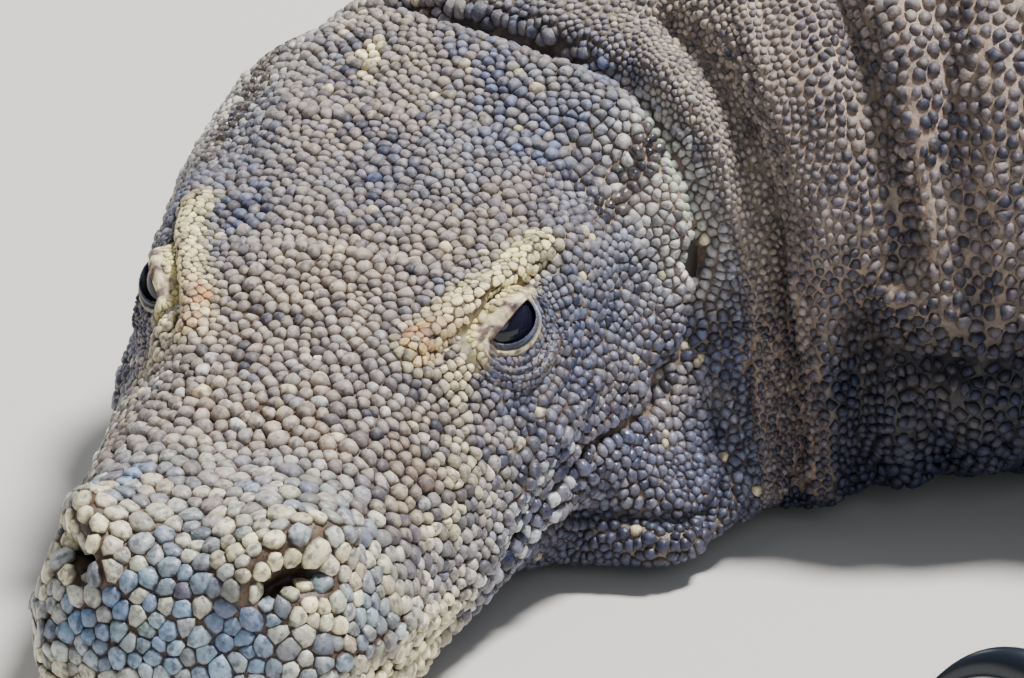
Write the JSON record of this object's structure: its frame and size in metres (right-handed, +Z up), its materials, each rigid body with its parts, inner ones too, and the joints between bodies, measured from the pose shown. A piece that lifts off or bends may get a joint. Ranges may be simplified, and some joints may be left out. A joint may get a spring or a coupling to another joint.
{
  "type": "komodo dragon model",
  "caption": "Life-size still model of a komodo dragon lying on its belly, legs sprawled, with its chin on the floor and its head turned to its left.",
  "frame": {"origin": "on the floor, under the middle of the animal's bounding box", "axes": "+Z up, +Y along the trunk towards the tail, +X towards the animal's left side"},
  "size_m": [0.8964, 2.4086, 0.2226],
  "materials": {
    "head_hide": "domed scales, dusty grey brown over blue grey, cream on the brows and lips",
    "neck_hide": "dark blue grey bead scales set in tan skin, in folds",
    "trunk_hide": "dark bead scales in rows, grey brown",
    "tail_hide": "keeled bead scales in rings, dark grey brown",
    "leg_hide": "dark bead scales, larger on the toes",
    "eye": "near black brown eye, wet gloss",
    "ear": "thin dark eardrum",
    "claw": "dark horn, satin"
  },
  "bodies": {
    "root": {"head": "head_hide", "lower_jaw": "head_hide", "eye_left": "eye", "ear_left": "ear", "eye_right": "eye", "ear_right": "ear", "neck": "neck_hide", "chest": "trunk_hide", "belly": "trunk_hide", "tail_base": "tail_hide", "tail_middle": "tail_hide", "tail_rear": "tail_hide", "tail_tip": "tail_hide", "fore_left_upper_arm": "leg_hide", "fore_left_forearm": "leg_hide", "fore_left_hand": "leg_hide", "fore_left_claw_1": "claw", "fore_left_claw_2": "claw", "fore_left_claw_3": "claw", "fore_left_claw_4": "claw", "fore_left_claw_5": "claw", "fore_right_upper_arm": "leg_hide", "fore_right_forearm": "leg_hide", "fore_right_hand": "leg_hide", "fore_right_claw_1": "claw", "fore_right_claw_2": "claw", "fore_right_claw_3": "claw", "fore_right_claw_4": "claw", "fore_right_claw_5": "claw", "hind_left_thigh": "leg_hide", "hind_left_shank": "leg_hide", "hind_left_foot": "leg_hide", "hind_left_claw_1": "claw", "hind_left_claw_2": "claw", "hind_left_claw_3": "claw", "hind_left_claw_4": "claw", "hind_left_claw_5": "claw", "hind_right_thigh": "leg_hide", "hind_right_shank": "leg_hide", "hind_right_foot": "leg_hide", "hind_right_claw_1": "claw", "hind_right_claw_2": "claw", "hind_right_claw_3": "claw", "hind_right_claw_4": "claw", "hind_right_claw_5": "claw"}
  },
  "joints": []
}
